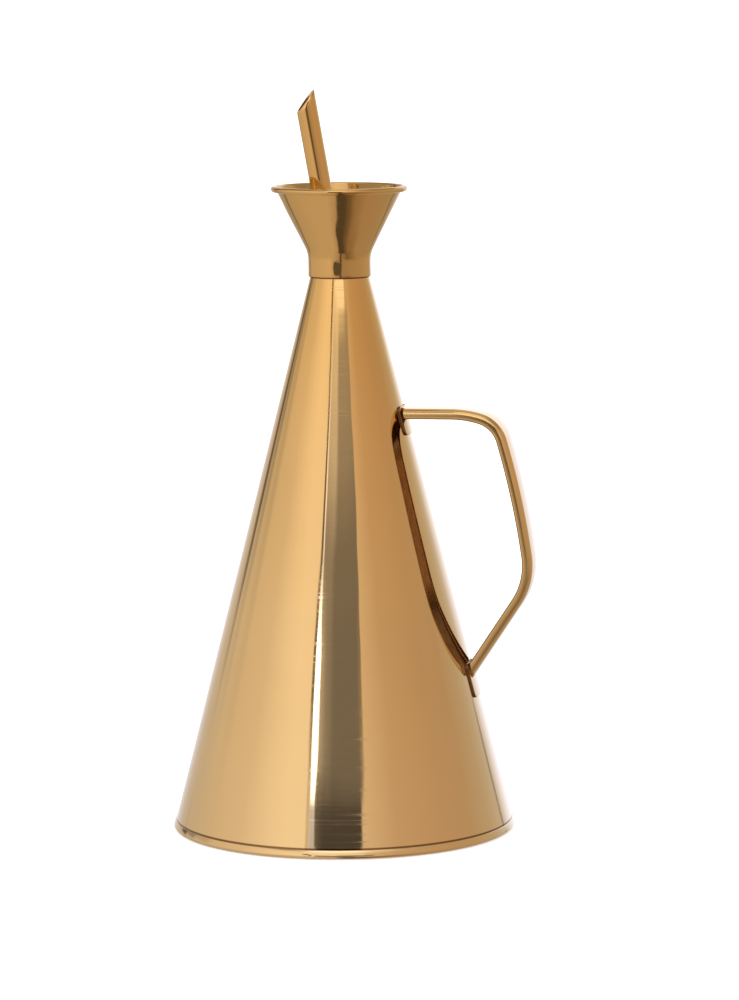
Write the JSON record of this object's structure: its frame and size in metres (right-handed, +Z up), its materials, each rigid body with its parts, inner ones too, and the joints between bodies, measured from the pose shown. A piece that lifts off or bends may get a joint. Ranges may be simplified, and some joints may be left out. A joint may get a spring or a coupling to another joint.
{
  "type": "oil can",
  "caption": "Conical sheet-metal oil can with a drip-catching funnel mouth, a lift-out slanted pouring spout and a bent strap handle.",
  "frame": {"origin": "on the can's axis, in the plane of the base ring that it stands on", "axes": "+Z up along the can's axis, +X towards the handle, +Y to the side, square to the handle's plane"},
  "size_m": [0.141, 0.132, 0.2843],
  "materials": {
    "polished_brass": "mirror polished",
    "sleeve_rubber": "matte"
  },
  "bodies": {
    "can": {"base_pan": "polished_brass", "cone_wall": "polished_brass", "funnel": "polished_brass", "handle_strap": "polished_brass", "upper_handle_plate": "polished_brass", "lower_handle_plate": "polished_brass"},
    "sleeve": {"stopper_sleeve": "sleeve_rubber"},
    "spout": {"stopper_cup": "polished_brass", "spout_tube": "polished_brass"}
  },
  "joints": [
    {"name": "spout_lift", "type": "slide", "parent": "can", "child": "sleeve", "axis": [0, 0, 1], "range_m": [0, 0.06]},
    {"name": "spout_turn", "type": "hinge", "parent": "sleeve", "child": "spout", "pos_m": [0, 0, 0.218], "axis": [0, 0, 1], "continuous": true}
  ]
}
